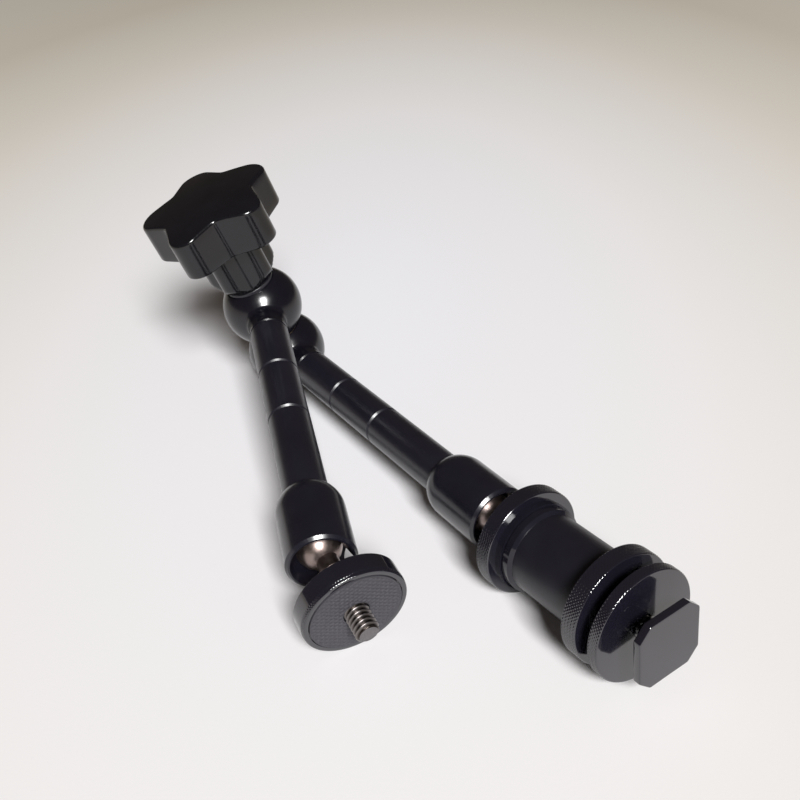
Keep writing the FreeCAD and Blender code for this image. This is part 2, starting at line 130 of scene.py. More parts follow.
def skin(name, radius, height, place, body, slot, ring=False, angle=None):
    """A closed mesh from two grids in millimetres, profile rows by steps round the axis."""
    rows, around = radius.shape
    angle = full_turn(around) if angle is None else angle
    grid = np.stack([radius * np.cos(angle), radius * np.sin(angle), height], -1) / 1000
    mesh = bpy.data.meshes.new(name)
    mesh.from_pydata(grid.reshape(-1, 3).tolist(), [], grid_faces(rows, around, ring))
    work = bmesh.new()
    work.from_mesh(mesh)
    bmesh.ops.recalc_face_normals(work, faces=work.faces)
    work.to_mesh(mesh)
    work.free()
    piece = bpy.data.objects.new(name, mesh)
    bpy.context.scene.collection.objects.link(piece)
    piece.matrix_world = place
    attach(piece, body)
    print(f"{name}: {len(mesh.polygons)} faces")
    return piece


print("a capped grid of 3 rows by 8 steps has", len(grid_faces(3, 8, False)), "faces")

# %% [markdown]
# ## Edges that catch the light
# No real edge is perfectly sharp, and the small round on it is what glints. A bevel modifier would round
# every edge alike. Rounding the corners of the profile lets each corner have a size of its own.

# %% Rounded profiles and shading


def softened(points, size, steps=3):
    """The same profile with its corners rounded off by small arcs; `size` is one number or one a point."""
    sizes = [size] * len(points) if isinstance(size, (int, float)) else size
    out = []
    for i, (here, round_off) in enumerate(zip(points, sizes)):
        before = Vector(points[i - 1]) - Vector(here)
        after = Vector(points[(i + 1) % len(points)]) - Vector(here)
        if not round_off:
            out.append(tuple(here))
            continue
        start = Vector(here) + before.normalized() * min(round_off, before.length * 0.45)
        end = Vector(here) + after.normalized() * min(round_off, after.length * 0.45)
        for step in range(steps + 1):
            t = step / steps
            bend = start * (1 - t) ** 2 + Vector(here) * 2 * t * (1 - t) + end * t**2
            out.append(tuple(bend))
    return out


def turned_grid(points, around):
    """Profile points (height, radius) as the two grids that `skin` takes."""
    heights, radii = np.array(points).T
    return np.repeat(radii[:, None], around, 1), np.repeat(heights[:, None], around, 1)


def by_angle(mesh, degrees):
    """Smooth shading with crisp edges where two faces meet at more than this angle."""
    mesh.shade_smooth()
    mesh.set_sharp_from_angle(angle=math.radians(degrees))


print("a square with rounded corners has", len(softened([(0, 0), (9, 0), (9, 9), (0, 9)], 1)), "points")

# %% [markdown]
# ## A thread
# The studs carry a quarter-inch thread of 20 turns an inch. It could be a helix cut away with a boolean,
# which is slow and leaves thin faces. Here it is a zigzag wound round the axis: it depends on the height
# less one pitch for each turn, so it climbs like a right-hand screw.

# %% The depth of the thread at a place
pitch = 1.27
crest = 3.175
thread_depth = 0.66
steps_a_turn = 14


def wave(turns):
    """A zigzag between 0 and 1 that repeats once a turn."""
    return np.abs(2 * (turns - np.floor(turns)) - 1)


def thread_cut(height, angle):
    """How far the thread is cut into the bar, with a narrow flat on each crest and root."""
    slope = wave(height / pitch - angle / (2 * np.pi))
    return thread_depth * np.clip((slope - 0.12) / 0.76, 0, 1)


print("the thread is", 2 * crest, "mm across, and", round(2 * (crest - thread_depth), 2), "mm in its roots")

# %% [markdown]
# ## The ball studs
# Each stud is one piece of nickel-plated steel: a ball, a plain neck and the thread. One profile runs over
# all three, so nothing has to be joined. The thread fades in at the neck, and the tip is chamfered.

# %% Turn the studs
ball = 6.2
neck = 2.9
neck_end = 10.6
camera_stud_tip = 29.7
shoe_stud_tip = 33.0


def stud(name, tip, place, body, node):
    around = 56
    start = neck_end + 0.3
    curve = np.linspace(np.pi - 0.02, math.asin(neck / ball), 40)
    profile = [(ball * math.cos(a), ball * math.sin(a)) for a in curve]
    profile += [(h, neck) for h in (7.6, 9.0, neck_end)]
    profile += [(h, crest) for h in np.linspace(start, tip, int((tip - start) / pitch * steps_a_turn))]
    radius, height = turned_grid(profile, around)
    fade = np.clip((height - neck_end - 0.2) / 1.6, 0, 1)
    radius = radius - thread_cut(height, full_turn(around)) * fade
    radius = np.minimum(radius, crest - 0.75 + (tip - height) * 1.1)
    radius = np.where(height > neck_end, np.minimum(radius, neck + (height - neck_end) * 0.5), radius)
    piece = skin(name, radius, height, place, body, "stud_nickel")
    by_angle(piece.data, 50)
    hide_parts(node)
    return piece


camera_screw = stud("camera_stud_threaded", camera_stud_tip, camera_stud, "camera_stud", "camera_ball_stud")
shoe_screw = stud("shoe_stud_threaded", shoe_stud_tip, shoe_stud, "shoe_stud", "shoe_ball_stud")

# %% [markdown]
# ## Knurled rims
# A knurl is two sets of fine slanted ridges pressed into the rim, so that a thumb doesn't slip. It could be
# a bump in the material, but then the wheel's outline and bevels stay smooth. Two zigzags that climb in
# opposite directions cut it into the mesh. The ridges lie below the rim's radius, so the wheel is no larger
# than its solid, and they run out through the bevels, which breaks the edge up into small facets that sparkle.

# %% A knurl on a turned wheel
knurl_depth = 0.34
bevel = 0.38


def knurled(name, low, high, rim, profile, teeth, place, body, node):
    """A turned wheel with a knurl between two heights on its rim."""
    around = teeth * 4
    radius, height = turned_grid(profile, around)
    climb = (height - low) * teeth / (2 * np.pi * rim)
    round_axis = teeth * full_turn(around) / (2 * np.pi)
    ridges = 1 - 0.5 * (wave(round_axis + climb) + wave(round_axis - climb))
    cut = rim - knurl_depth * ridges * np.clip((height - low) / 0.2 + 1, 0, 1) * (height < high + 0.01)
    piece = skin(name, np.minimum(radius, cut), height, place, body, "black_anodised", ring=True)
    by_angle(piece.data, 40)
    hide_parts(node)
    return piece


def rim_profile(corners, softness, rim):
    """A rounded profile with close rows on the rim and its bevels, where the knurl needs them."""
    rounded = softened(corners, softness)
    profile = []
    for here, after in zip(rounded, rounded[1:]):
        profile.append(here)
        if min(here[1], after[1]) > rim - bevel - 0.01:
            stops = np.linspace(0, 1, int(math.dist(here, after) / 0.19) + 2)[1:-1]
            profile += [tuple(Vector(here).lerp(Vector(after), t)) for t in stops]
    return profile + [rounded[-1]]


print("the knurl is cut", knurl_depth, "mm deep")

# %% [markdown]
# ## The three thumb wheels
# The lock wheel stands behind the barrel and has a boss towards the socket. The stem wheel stands in front
# of the barrel, and the clamp wheel in front of a loose collar. Each could be placed by eye. All of them sit
# one after the other on the shoe stud, so their places are sums of lengths, and nothing overlaps.

# %% Turn the wheels
bore = 3.195
boss_start, boss_small, boss_large = 11.8, 4.6, 6.2
fit = 0.02
lock_front, lock_thickness, lock_rim = 19.5, 4.65, 14.7
stem_thickness, clamp_thickness, wheel_rim = 4.75, 3.0, 15.1
barrel_length, collar_length, collar_gap = 27.3, 3.8, 0.12


def thumb_wheel(name, back, front, rim, node, teeth=104, boss=False):
    """A flat wheel with bevelled edges, and a boss behind it if it has one."""
    behind, softness = [(back, bore)], [0]
    if boss:
        behind = [(boss_start, bore), (boss_start, boss_small), (back, boss_large)]
        softness = [0, 0.25, 0.25]
    corners = behind + [(back, rim - bevel), (back + bevel, rim), (front - bevel, rim), (front, rim - bevel)]
    profile = rim_profile(corners + [(front, bore)], softness + [0.12, 0.08, 0.08, 0.12, 0], rim)
    return knurled(name, back, front, rim, profile, teeth, shoe_stud, node, node)


stem_back = lock_front + fit + barrel_length + fit
clamp_back = stem_back + stem_thickness + collar_gap + collar_length + fit
lock_back = lock_front - lock_thickness
stem_front = stem_back + stem_thickness
clamp_front = clamp_back + clamp_thickness
wheels = [
    thumb_wheel("lock_wheel_knurled", lock_back, lock_front, lock_rim, "lock_wheel", 100, True),
    thumb_wheel("stem_wheel_knurled", stem_back, stem_front, wheel_rim, "stem_wheel"),
    thumb_wheel("clamp_wheel_knurled", clamp_back, clamp_front, wheel_rim, "clamp_wheel"),
]
print("the clamp wheel starts", round(clamp_back, 2), "mm from the ball")

# %% [markdown]
# ## The camera platform
# The platform is a wheel of the same kind with a shallow recess in front, where the pad lies. Only a narrow
# band of its rim is knurled, so the knurl starts at the floor of the recess and ends at the front edge.

# %% Turn the platform
front = 22.7
back = front - 6.0
rim = 13.8
lip = rim - 1.5
recess = front - 0.9
corners = [
    (boss_start, bore), (boss_start, boss_small), (back, boss_large),
    (back, rim - bevel), (back + bevel, rim), (front - bevel, rim), (front, rim - bevel),
    (front, lip), (recess, lip), (recess, bore),
]
profile = rim_profile(corners, [0, 0.25, 0.3, 0.12, 0.08, 0.08, 0.12, 0.1, 0, 0], rim)
platform = knurled(
    "platform_knurled", recess, front, rim, profile, 120, camera_stud, "platform", "platform_wheel"
)
print("the recess is", round(front - recess, 2), "mm deep")

# %% [markdown]
# ## The rubber pad
# The pad is a rubber ring pressed with fine crossing grooves, and a thin dark gap shows round its edge. The
# grooves could be a bump, but they break up the light at the pad's far side only when they are really there.
# So the top is a fine grid, and two slanting zigzags lower it.

# %% Press the pad
pad_low, pad_high = recess, front + 0.2
pad_inner, pad_outer = 3.45, 12.05
groove_spacing, groove_depth = 1.3, 0.26


def pressed_pad():
    """A flat ring whose top carries crossing grooves, with a plain margin at both edges."""
    around = 560
    top = [(pad_high, r) for r in np.linspace(pad_inner, pad_outer, 64)]
    radius, height = turned_grid([(pad_low, pad_inner)] + top + [(pad_low, pad_outer)], around)
    angle = full_turn(around)
    x, y = radius * np.cos(angle), radius * np.sin(angle)
    cross = np.maximum(wave((x + 0.55 * y) / groove_spacing), wave((x - 0.55 * y) / groove_spacing))
    from_inside = np.clip((radius - pad_inner - 0.1) / 0.3, 0, 1)
    from_outside = np.clip((pad_outer - radius - 0.3) / 0.3, 0, 1)
    on_top = height > pad_high - 0.01
    height = height - groove_depth * np.clip((cross - 0.5) / 0.5, 0, 1) * from_inside * from_outside * on_top
    return radius, height


pad = skin("pad_ribbed", *pressed_pad(), camera_stud, "platform", "pad_rubber", ring=True)
by_angle(pad.data, 35)
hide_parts("platform_pad")
print("the pad stands", round(pad_high - front, 2), "mm proud")

# %% [markdown]
# ## The outline of the knob
# The knob is a plastic moulding: a five-lobed star on a fluted hub. Between its lobes the flanks are nearly
# flat and meet in a soft V. The outline could be arcs joined by hand. One formula serves both the star and
# the hub: a round lobe, the straight line that touches it and runs to the valley, and the same mirrored.
# Angles close to the valley are pushed away from it a little, which rounds the V.

# %% Lobes with valleys between them


def lobes(angle, tip, valley, tip_round, soften=0.07):
    """Radius at each angle of five round lobes, the first at angle 0, with flat flanks between them."""
    half = math.pi / 5
    middle = tip - tip_round
    reach = Vector((valley * math.cos(half) - middle, valley * math.sin(half)))
    flank = math.atan2(reach.y, reach.x) - math.acos(tip_round / reach.length)
    flank_distance = middle * math.cos(flank) + tip_round
    touch = math.atan2(tip_round * math.sin(flank), middle + tip_round * math.cos(flank))
    from_valley = (angle % (2 * half)) - half
    a = half - np.sqrt(from_valley**2 + soften**2)
    round_part = middle * np.cos(a) + np.sqrt(np.maximum(tip_round**2 - (middle * np.sin(a)) ** 2, 0))
    return np.where(a < touch, round_part, flank_distance / np.cos(a - flank))


steps_round_knob = 400
knob_angle = full_turn(steps_round_knob)[0]
star_radius = 22.2
star = lobes(knob_angle, star_radius, 15.3, 5.4)
hub = lobes(knob_angle, 12.1, 8.5, 3.8)
print("star:", round(star.min().item(), 1), "to", round(star.max().item(), 1), "mm from the axis")
print("hub:", round(hub.min().item(), 1), "to", round(hub.max().item(), 1), "mm from the axis")

# %% [markdown]
# ## Where the knob stands
# The new knob has to take the solid's place exactly. How far its lobes are turned and where its hub starts
# could be typed in, but they are read from the solid, so that both always agree.

# %% Measure the solid
knob_spots = np.array([clamp_axis.inverted() @ v.co for v in nodes["star_knob"].data.vertices]) * 1000
on_lobes = knob_spots[np.hypot(*knob_spots.T[:2]) > 21.8]
lobe_angle = (np.angle(np.exp(5j * np.arctan2(on_lobes[:, 1], on_lobes[:, 0])).sum()) / 5).item()
hub_low = knob_spots[:, 2].min().item()
print("first lobe at", round(math.degrees(lobe_angle), 1), "degrees, hub starts at", round(hub_low, 2), "mm")

# %% [markdown]
# ## The knob
# One skin runs from the blind end of the bolt's bore, down and out round the hub, up the star and over its
# crowned top. A quarter round on the top edge and a smaller one below are what glints along the lobes.

# %% Mould the knob
star_low, star_high, crown = 49.95, 62.75, 2.2
top_round, low_round = 1.3, 0.65
bolt_bore, bolt_reach = 3.3, 15
insert_bore, insert_reach = 5.62, 13.02
hub_foot, hub_spread, hub_flare = 8.3, 4.1, 4.4


def crowned(radius):
    return star_high + crown * (1 - (radius / star_radius) ** 2)


def knob_rows():
    level = np.ones(steps_round_knob)
    inside = [(0.4, bolt_reach), (bolt_bore, bolt_reach), (bolt_bore, insert_reach)]
    inside += [(insert_bore, insert_reach), (insert_bore, 0)]
    rows = [(r * level, hub_low + up * level) for r, up in inside]
    for up in np.linspace(0, hub_flare, 7):
        rows.append((np.minimum(hub, hub_foot + up * hub_spread / hub_flare), (hub_low + up) * level))
    rows += [(hub, h * level) for h in np.linspace(hub_low + 5, star_low, 4)]
    for turn in np.linspace(0, np.pi / 2, 5):
        rows.append((star - low_round * (1 - np.sin(turn)), star_low + low_round * (1 - np.cos(turn)) * level))
    shoulder = crowned(star - top_round) - top_round
    side_low = star_low + low_round
    rows += [(star, side_low + (shoulder - star_low - low_round) * t) for t in np.linspace(0.2, 0.8, 4)]
    for turn in np.linspace(0, np.pi / 2, 8):
        rows.append((star - top_round * (1 - np.cos(turn)), shoulder + top_round * np.sin(turn)))
    rows += [((star - top_round) * t, crowned((star - top_round) * t)) for t in np.linspace(0.95, 0.02, 16)]
    return np.array(rows).transpose(1, 0, 2)


star_knob = skin("star_knob_moulded", *knob_rows(), Matrix(), "knob", "knob_plastic")
star_knob.data.transform(clamp_axis @ Matrix.Rotation(lobe_angle, 4, "Z"))
by_angle(star_knob.data, 40)
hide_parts("star_knob")
print("the knob is", round(star_high + crown - hub_low, 1), "mm high")

# %% [markdown]
# ## The plate of the foot
# The foot slides into an accessory shoe. Its plate is 18.6 mm square with clipped corners, and it is turned
# about the stud as the solid is. The turn is measured from the solid: its corners come in pairs about each
# diagonal, so four times their angles sum to one direction.

# %% Measure the turn and draw the outline


def side_angle():
    inverse = shoe_stud.inverted()
    spots = [inverse @ v.co for v in nodes["shoe_foot"].data.vertices]
    fourfold = sum(np.exp(4j * math.atan2(p.y, p.x)) for p in spots if p.xy.length > 0.0108)
    return (np.angle(-fourfold) / 4).item()


def plate_outline():
    """Angle and radius of points along a square with clipped, slightly rounded corners."""
    half, flat = 9.3, 6.0
    clipped = [(half, -flat), (half, flat), (flat, half), (-flat, half)]
    turned = softened(clipped + [(-x, -y) for x, y in clipped], 0.35)
    points = []
    for here, after in zip(turned, turned[1:] + turned[:1]):
        count = max(1, round(math.dist(here, after) / 1.5))
        points += [np.array(here) + (np.array(after) - here) * k / count for k in range(count)]
    x, y = np.array(points).T
    angle = np.arctan2(y, x)
    order = np.argsort(angle)
    return angle[order][None], np.hypot(x, y)[order][None]


plate_turn = side_angle()
plate_angle, plate_radius = plate_outline()
print("plate turned by", round(math.degrees(plate_turn), 1), "degrees,", plate_radius.size, "points round it")

# %% [markdown]
# ## The foot
# Plate, neck and threaded stem are one piece of metal. The plate could be a bevelled box joined to a
# cylinder. One skin over all three stays closed, and its columns follow the clipped outline all the way. The
# plate is the flattest face of the arm, and its edges are what catches the light, so they are softened.

# %% Cut the foot
clamp_travel, running_fit, neck_height, plate_thickness = 3.9, 0.05, 1.7, 2.0
plate_back = clamp_front + clamp_travel + running_fit + neck_height
plate_front = plate_back + plate_thickness
neck_back = plate_back - neck_height
stem_low, stem_bare, stem_thread = 36.0, 49.9, 50.0
steps_round_plate = plate_radius.shape[1]

stem = [(stem_low, 2.6), (stem_low + 0.6, crest), (stem_bare, crest)]
stem += [(h, crest) for h in np.linspace(stem_thread, neck_back, 130)]
foot_neck = softened([(neck_back, 4.0), (neck_back, 5.2), (plate_back, 5.2)], [0, 0.3, 0])
radius, height = turned_grid(stem + foot_neck, steps_round_plate)
radius = radius - thread_cut(height, plate_angle) * (height > stem_thread - 0.05) * (radius < crest + 0.01)

sides = [(plate_back, -0.7), (plate_back, 0), (plate_front, 0), (plate_front, -0.7)]
inset, side_height = turned_grid(softened(sides, [0, 0.32, 0.32, 0]), steps_round_plate)
radius = np.vstack([radius, plate_radius + inset])
height = np.vstack([height, side_height])

foot_place = shoe_stud @ Matrix.Rotation(plate_turn, 4, "Z")
foot = skin("shoe_foot_cut", radius, height, foot_place, "shoe_adapter", "black_anodised", angle=plate_angle)
by_angle(foot.data, 32)
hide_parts("shoe_foot")
print("the foot is", round(plate_front - stem_low, 1), "mm long")

# %% [markdown]
# ## Finishes from noise
# What makes a finish real is small: turned lines, a little unevenness in the gloss, a few pits. A photograph
# wrapped round the piece could show them, but it would bring its own light along. Here they are built from
# noise in the piece's own space, so they stay on the piece when it moves. The first class places noise and
# measures distances, all in millimetres.

# %% Noise and distances in a piece's space


class Recipe:
    """A Principled material with short ways to read a place on the surface."""

    def __init__(self, name, **uniform):
        self.material = bpy.data.materials.new(name)
        self.material.use_nodes = True
        self.tree = self.material.node_tree
        self.shader = self.tree.nodes["Principled BSDF"]
        for socket, value in uniform.items():
            self.shader.inputs[socket.replace("_", " ")].default_value = value

    def add(self, kind, **settings):
        node = self.tree.nodes.new(kind)
        for key, value in settings.items():
            if key in node.inputs:
                node.inputs[key].default_value = value
            else:
                setattr(node, key, value)
        return node

    def link(self, source, target):
        self.tree.links.new(source, target)

    def space(self, place=None, scale=(1, 1, 1)):
        """Coordinates in the piece's own space in millimetres, or in a placement's space, then scaled."""
        back = (place or Matrix.Identity(4)).inverted()
        turn = self.add("ShaderNodeMapping")
        turn.inputs["Location"].default_value = back.to_translation() * 1000
        turn.inputs["Rotation"].default_value = back.to_euler()
        turn.inputs["Scale"].default_value = (1000, 1000, 1000)
        self.link(self.add("ShaderNodeTexCoord").outputs["Object"], turn.inputs["Vector"])
        grow = self.add("ShaderNodeMapping")
        grow.inputs["Scale"].default_value = scale
        self.link(turn.outputs["Vector"], grow.inputs["Vector"])
        return grow.outputs["Vector"]

    def noise(self, where, scale, detail=3.0):
        node = self.add("ShaderNodeTexNoise", Scale=scale, Detail=detail)
        self.link(where, node.inputs["Vector"])
        return node.outputs["Fac"]

    def height(self, where):
        """Distance along Z in a space."""
        node = self.add("ShaderNodeSeparateXYZ")
        self.link(where, node.inputs["Vector"])
        return node.outputs["Z"]

    def from_axis(self, where):
        """Distance from Z in a space."""
        flat = self.add("ShaderNodeVectorMath", operation="MULTIPLY")
        flat.inputs[1].default_value = (1, 1, 0)
        self.link(where, flat.inputs[0])
        length = self.add("ShaderNodeVectorMath", operation="LENGTH")
        self.link(flat.outputs["Vector"], length.inputs[0])
        return length.outputs["Value"]


print("a recipe has", [name for name in vars(Recipe) if not name.startswith("_")])

# %% [markdown]
# ## From noise to colour, gloss and relief
# Noise is only a number about one half. The second class turns it into what the shader takes: a colour that
# goes from a dark to a light tone, a roughness between two values, or a relief a few thousandths of a
# millimetre deep.

# %% Colour, gloss and relief


class Finish(Recipe):
    """A recipe with short ways to vary the shader over the surface."""

    def spread(self, source, low, high, start=0.3, end=0.7):
        """A number that goes from low to high while the source goes from start to end."""
        node = self.add("ShaderNodeMapRange")
        for key, value in {"From Min": start, "From Max": end, "To Min": low, "To Max": high}.items():
            node.inputs[key].default_value = value
        self.link(source, node.inputs["Value"])
        return node.outputs["Result"]

    def ramp(self, source, *stops):
        """A colour that follows the source through stops, each a place and a colour."""
        node = self.add("ShaderNodeValToRGB")
        points = node.color_ramp.elements
        while len(points) < len(stops):
            points.new(1.0)
        for point, (place, colour) in zip(points, stops):
            point.position = place
            point.color = (*colour, 1)
        self.link(source, node.inputs["Fac"])
        return node.outputs["Color"]

    def vary(self, socket, source):
        self.link(source, self.shader.inputs[socket])

    def colour(self, source, dark, light, start=0.3, end=0.7):
        """Base colour from dark to light while the source goes from start to end."""
        self.vary("Base Color", self.ramp(source, (start, dark), (end, light)))

    def rough(self, source, low, high, start=0.3, end=0.7):
        self.vary("Roughness", self.spread(source, low, high, start, end))

    def bump(self, *reliefs):
        """Relief from pairs of a source and its depth in millimetres, one on top of the other."""
        under = None
        for source, depth in reliefs:
            node = self.add("ShaderNodeBump", Strength=1.0, Distance=depth / 1000)
            self.link(source, node.inputs["Height"])
            if under:
                self.link(under, node.inputs["Normal"])
            under = node.outputs["Normal"]
        self.vary("Normal", under)


print("a finish adds", [name for name in vars(Finish) if not name.startswith("_")])

# %% [markdown]
# ## Black anodised aluminium
# Anodising leaves metal under a thin dark oxide. It could be a metallic shader with a dark colour, but the
# real surface mirrors like glass over black: a nearly black colour with a strong clear reflection, which a
# high index of refraction gives. The wheels and the foot are bright, the tubes and sockets satin.

# %% Anodised finishes
oxide_dark = (0.0066, 0.0060, 0.0105)
oxide_light = (0.0098, 0.0090, 0.0150)


def anodised(name, place=None, rough=(0.08, 0.11), lines=0.001, ior=1.85, tone=1.0):
    """Black anodising with turned lines round a placement's Z, or round the piece's own."""
    finish = Finish(name, IOR=ior)
    where = finish.space(place)
    turned_lines = finish.noise(finish.space(place, (0.12, 0.12, 9)), 1.0, 2)
    dark, light = ([tone * c for c in oxide] for oxide in (oxide_dark, oxide_light))
    finish.colour(finish.noise(where, 0.09, 4), dark, light)
    finish.rough(finish.noise(where, 0.5, 5), *rough)
    finish.bump((turned_lines, lines), (finish.noise(where, 2.6, 2), 0.0005))
    return finish.material


bright = anodised("anodised_bright")
collar_bright = anodised("anodised_collar", shoe_stud)
cheek_satin = anodised("anodised_cheek", clamp_axis, (0.19, 0.23), 0.0004, 1.55, 0.55)
washer_black = anodised("blackened_steel_washer", clamp_axis, (0.35, 0.45), 0.002, 1.6)
tube_satin, socket_satin = {}, {}
for arm, axis in arm_axes.items():
    tube_satin[arm] = anodised(f"anodised_satin_{arm}", axis, (0.28, 0.36), 0.001, 1.6)
    socket_satin[arm] = anodised(f"anodised_socket_{arm}", axis, (0.2, 0.26), 0.0008, 1.6)
print("made", [m.name for m in (bright, collar_bright, cheek_satin, washer_black, *tube_satin.values())])

# %% [markdown]
# ## The blasted barrel
# The long barrel is blasted, so it mirrors nothing, but the stepped collar next to the lock wheel was turned
# afterwards and is bright. Two materials would need a cut in the mesh. One material whose roughness follows
# the distance along the barrel needs none.

# %% The barrel's finish
step_start, step_end = 24.3, 24.7


def barrel_finish():
    finish = Finish("anodised_barrel", IOR=1.45)
    where = finish.space(shoe_stud)
    finish.colour(finish.noise(where, 0.12, 4), (0.0070, 0.0064, 0.0105), (0.0105, 0.0097, 0.0150))
    finish.rough(finish.height(where), 0.08, 0.4, step_start, step_end)
    finish.bump((finish.noise(where, 4.0, 3), 0.003))
    return finish.material


barrel_blasted = barrel_finish()
print(barrel_blasted.name, "turns rough", step_start, "mm from the ball")

# %% [markdown]
# ## Glossy knob plastic
# Moulded plastic is smooth and glossy, yet never quite flat: it sinks a little as it cools. A plain gloss
# would look like glass. A wide, shallow bump makes the reflections swim, and a fine one dulls them.

# %% The knob's finish


def knob_plastic():
    finish = Finish("knob_plastic_gloss", IOR=1.53)
    where = finish.space(clamp_axis)
    finish.colour(finish.noise(where, 0.1, 3), (0.0034, 0.0032, 0.0046), (0.0056, 0.0053, 0.0072))
    finish.rough(finish.noise(where, 0.7, 6), 0.12, 0.2)
    finish.bump((finish.noise(where, 0.12, 2), 0.012), (finish.noise(where, 3.5, 2), 0.0006))
    return finish.material


knob_gloss = knob_plastic()
print("made", knob_gloss.name)

# %% [markdown]
# ## Dark nickel on the studs
# The plate on the balls is black nickel: a metal mirror with a warm, brownish dark tone and a few dull
# clouds. On the thread the colour darkens from the crests into the roots, which is painted shade in the
# roots. On the flat end the plate is rubbed through to grey steel. So a stud takes three finishes, one a zone.

# %% Ball, thread and end
root_radius, crest_radius = 2.55, 3.12


def ball_nickel():
    finish = Finish("nickel_smooth", Metallic=1.0)
    where = finish.space()
    finish.colour(finish.noise(where, 0.35, 4), (0.26, 0.200, 0.180), (0.37, 0.30, 0.28))
    finish.rough(finish.noise(where, 1.1, 4), 0.3, 0.4)
    finish.bump((finish.noise(where, 2.5, 3), 0.002))
    return finish.material


def thread_nickel():
    finish = Finish("nickel_thread", Metallic=1.0)
    where = finish.space()
    # Painted shade: the thread's colour darkens from the crests into the roots.
    root_shade = finish.spread(finish.from_axis(where), 0, 1, root_radius, crest_radius)
    finish.colour(root_shade, (0.048, 0.039, 0.035), (0.235, 0.214, 0.21), 0.1, 0.95)
    finish.rough(finish.noise(where, 1.6, 4), 0.26, 0.4)
    finish.bump((finish.noise(where, 4.0, 3), 0.004))
    return finish.material


def cut_end():
    finish = Finish("screw_end_grey", Metallic=1.0)
    rings = finish.noise(finish.space(None, (3, 3, 0.1)), 1.0, 3)
    finish.colour(rings, (0.18, 0.170, 0.175), (0.24, 0.228, 0.234))
    finish.rough(finish.noise(finish.space(), 1.5, 4), 0.35, 0.5)
    finish.bump((rings, 0.006))
    return finish.material


stud_finishes = [ball_nickel(), thread_nickel(), cut_end()]
print("made", [m.name for m in stud_finishes])

# %% [markdown]
# ## Rubber and fibre
# Both are dull and grainy. One fine noise serves their colour and their relief at once, as in the real
# things, where the grains that stand up are also the ones that catch the light.

# %% The pad and the friction ring


def pad_rubber():
    finish = Finish("pad_rubber_matte", IOR=1.45)
    where = finish.space()
    speck = finish.noise(where, 5.0, 4)
    finish.colour(speck, (0.033, 0.031, 0.037), (0.056, 0.053, 0.062))
    finish.rough(finish.noise(where, 1.0, 3), 0.5, 0.68)
    finish.bump((speck, 0.02))
    return finish.material


def pressed_fibre():
    finish = Finish("friction_fibre", IOR=1.4)
    speck = finish.noise(finish.space(clamp_axis), 3.0, 5)
    finish.colour(speck, (0.05, 0.032, 0.02), (0.15, 0.11, 0.07))
    finish.rough(speck, 0.75, 0.9)
    finish.bump((speck, 0.03))
    return finish.material


rubber, fibre = pad_rubber(), pressed_fibre()
print("made", rubber.name, "and", fibre.name)

# %% [markdown]
# ## The metals inside
# The clamp's own pieces are hidden until the arm is taken apart: steel rods and a steel bolt, brass seats, a
# brass sleeve and a brass insert. All are turned or ground, so one recipe with fine lines round the axis
# makes them, and only its two colours change.

# %% Steel and brass


def bare_metal(name, dark, light, place):
    """Turned metal with fine lines round a placement's Z."""
    finish = Finish(name, Metallic=1.0)
    turned_lines = finish.noise(finish.space(place, (0.15, 0.15, 7)), 1.0, 3)
    finish.colour(turned_lines, dark, light)
    finish.rough(finish.noise(finish.space(place), 0.8, 4), 0.2, 0.34)
    finish.bump((turned_lines, 0.006))
    return finish.material


steel_tones = (0.42, 0.42, 0.43), (0.6, 0.6, 0.6)
bolt_steel = bare_metal("ground_steel_bolt", *steel_tones, clamp_axis)
clamp_brass = bare_metal("turned_brass_clamp", (0.5, 0.33, 0.14), (0.72, 0.52, 0.26), clamp_axis)
rod_steel, seat_brass = {}, {}
for arm, axis in arm_axes.items():
    rod_steel[arm] = bare_metal(f"ground_steel_{arm}", *steel_tones, axis)
    seat_brass[arm] = bare_metal(f"turned_brass_{arm}", (0.45, 0.24, 0.12), (0.62, 0.38, 0.2), axis)
print("made", [m.name for m in (bolt_steel, clamp_brass, *rod_steel.values(), *seat_brass.values())])

# %% [markdown]
# ## Who wears what
# Each piece takes the finish that its real counterpart has. A stud's faces are shared out by their height:
# the ball and neck first, then the thread, and last the flat end.

# %% Give every piece its finish


def paint(piece, *materials):
    piece.data.materials.clear()
    for material in materials:
        piece.data.materials.append(material)


for arm in arm_axes:
    paint(nodes[f"{arm}_arm_tube"], tube_satin[arm])
    paint(nodes[f"{arm}_arm_socket"], socket_satin[arm])
    paint(nodes[f"{arm}_arm_cheek"], cheek_satin)
    paint(nodes[f"{arm}_arm_rod"], rod_steel[arm])
    paint(nodes[f"{arm}_arm_seat"], seat_brass[arm])
for name, material in {
    "adapter_barrel": barrel_blasted, "clamp_collar": collar_bright, "clamp_bolt": bolt_steel,
    "knob_insert": clamp_brass, "wedge_sleeve": clamp_brass,
    "pressure_washer": washer_black, "friction_washer": fibre,
}.items():
    paint(nodes[name], material)
for piece in (*wheels, platform, foot):
    paint(piece, bright)
paint(pad, rubber)
paint(star_knob, knob_gloss)
for screw, tip in ((camera_screw, camera_stud_tip), (shoe_screw, shoe_stud_tip)):
    paint(screw, *stud_finishes)
    for face in screw.data.polygons:
        height_mm = face.center.z * 1000
        face.material_index = 2 if height_mm > tip - 0.01 else int(height_mm > neck_end)
